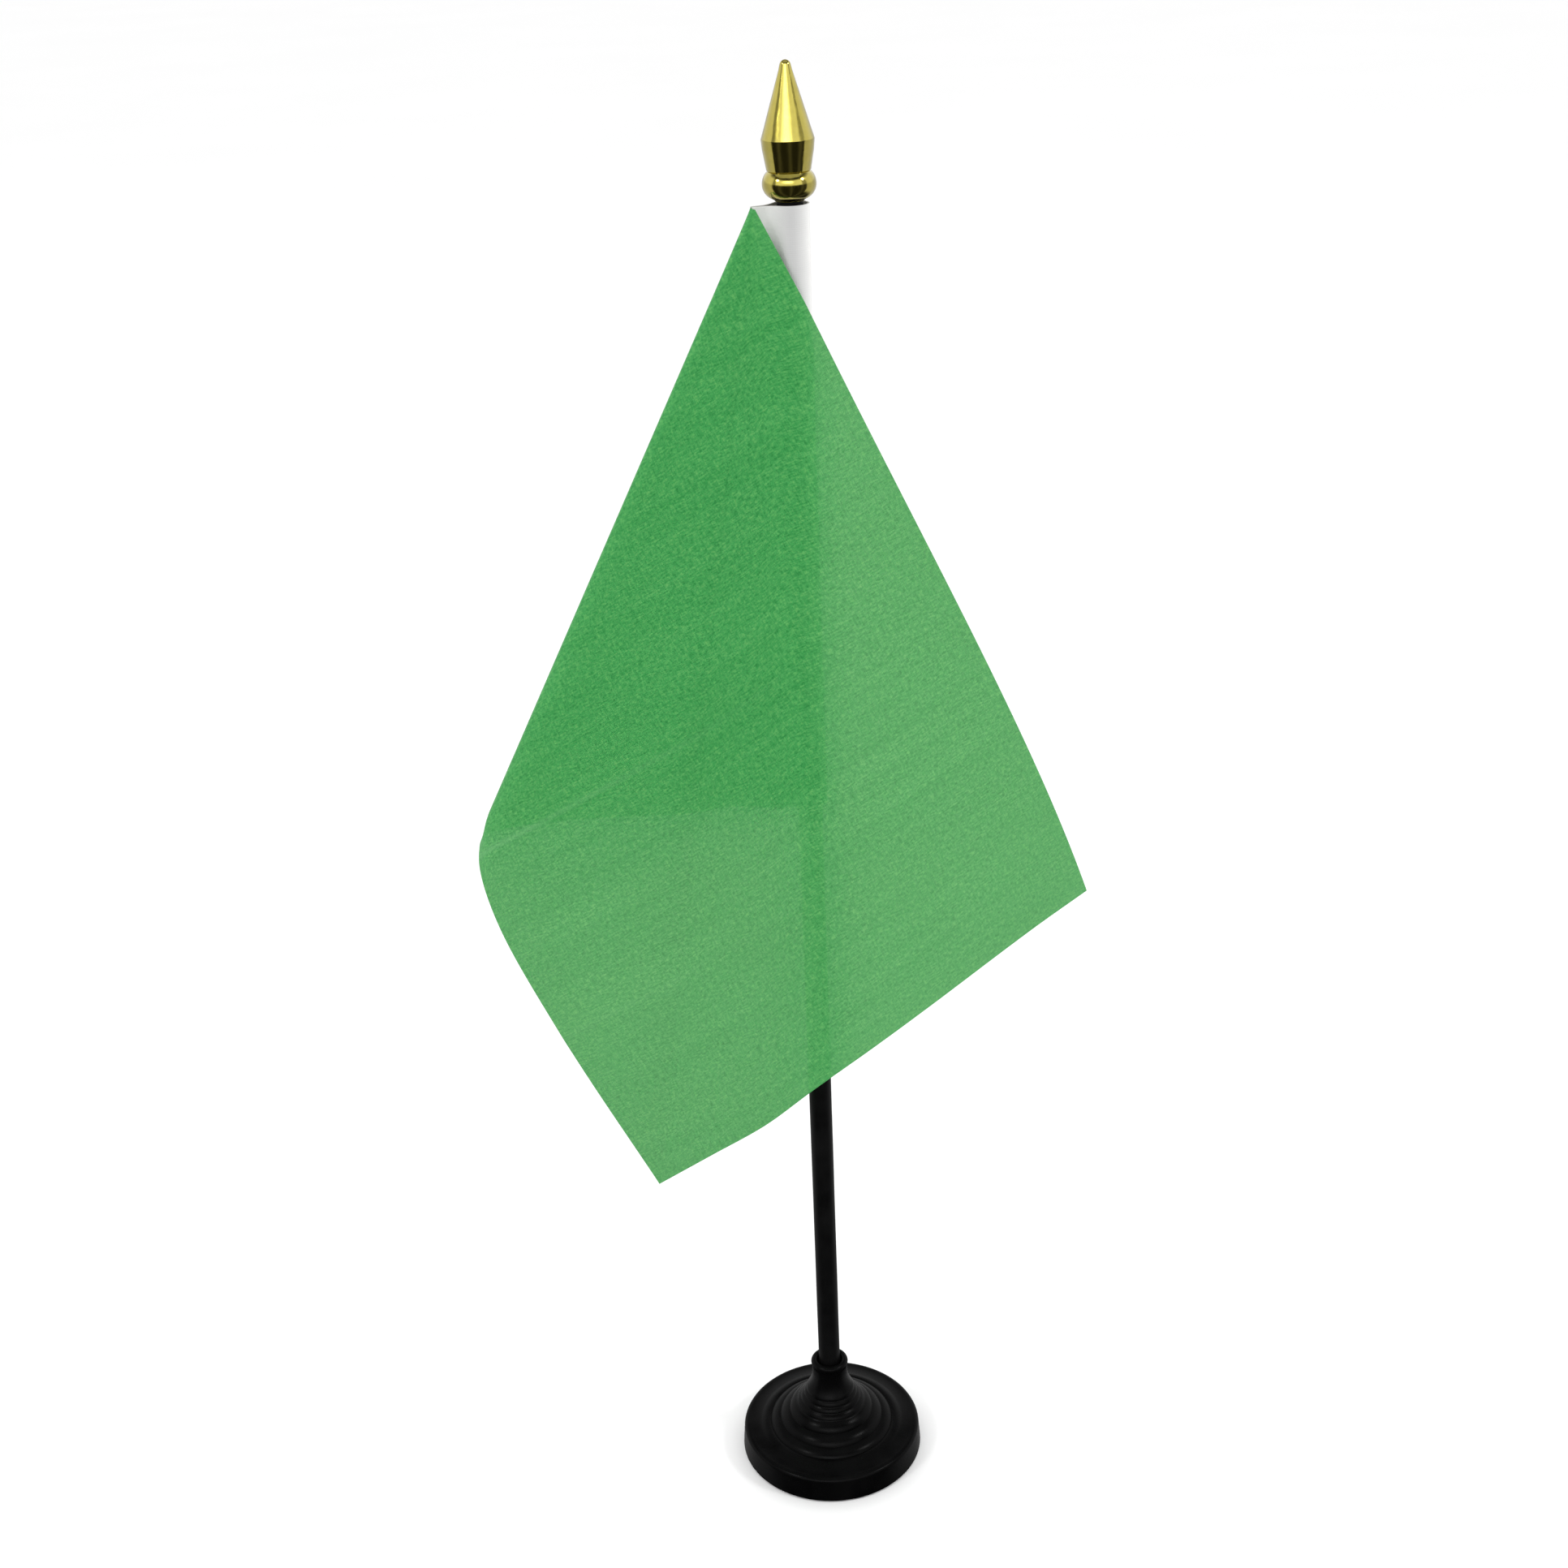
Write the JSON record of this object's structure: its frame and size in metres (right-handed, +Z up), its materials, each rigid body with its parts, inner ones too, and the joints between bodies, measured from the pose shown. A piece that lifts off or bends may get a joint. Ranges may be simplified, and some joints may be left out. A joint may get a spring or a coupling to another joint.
{
  "type": "desk flag stand",
  "caption": "Desk flag stand: weighted round foot with a stepped trumpet, tubular pole, spear finial, and a plain flag hanging folded from its hoist sleeve.",
  "frame": {"origin": "centre of the foot's bottom face, on the pole's axis", "axes": "+Z up along the pole; the flag's front layer is on the -Y side, and its fold is towards -X"},
  "size_m": [0.1558, 0.0627, 0.3652],
  "materials": {
    "foot_plastic": "moulded black, satin gloss",
    "pole_plastic": "extruded black, satin",
    "ballast_iron": "pressed, unpainted",
    "pad_rubber": "sheet rubber, matt",
    "finial_plating": "vacuum-metallised gold, mirror-like",
    "flag_cloth": "thin woven polyester, translucent",
    "sleeve_tape": "white satin polyester",
    "seam_thread": "spun polyester thread"
  },
  "bodies": {
    "stand_base": {"base_shell": "foot_plastic", "ballast": "ballast_iron", "foot_pad": "pad_rubber"},
    "pole_tube": {"pole": "pole_plastic"},
    "finial_cap": {"finial": "finial_plating"},
    "flag": {"flag_panel": "flag_cloth", "hoist_sleeve": "sleeve_tape", "seam_thread_front": "seam_thread", "seam_thread_back": "seam_thread"}
  },
  "joints": [
    {"name": "pole_lift", "type": "slide", "parent": "stand_base", "child": "pole_tube", "axis": [0, 0, 1], "range_m": [0, 0.024]},
    {"name": "flag_turn", "type": "hinge", "parent": "pole_tube", "child": "flag", "pos_m": [0, 0, 0.2662], "axis": [0, 0, 1], "continuous": true},
    {"name": "finial_lift", "type": "slide", "parent": "pole_tube", "child": "finial_cap", "axis": [0, 0, 1], "range_m": [0, 0.012]}
  ]
}
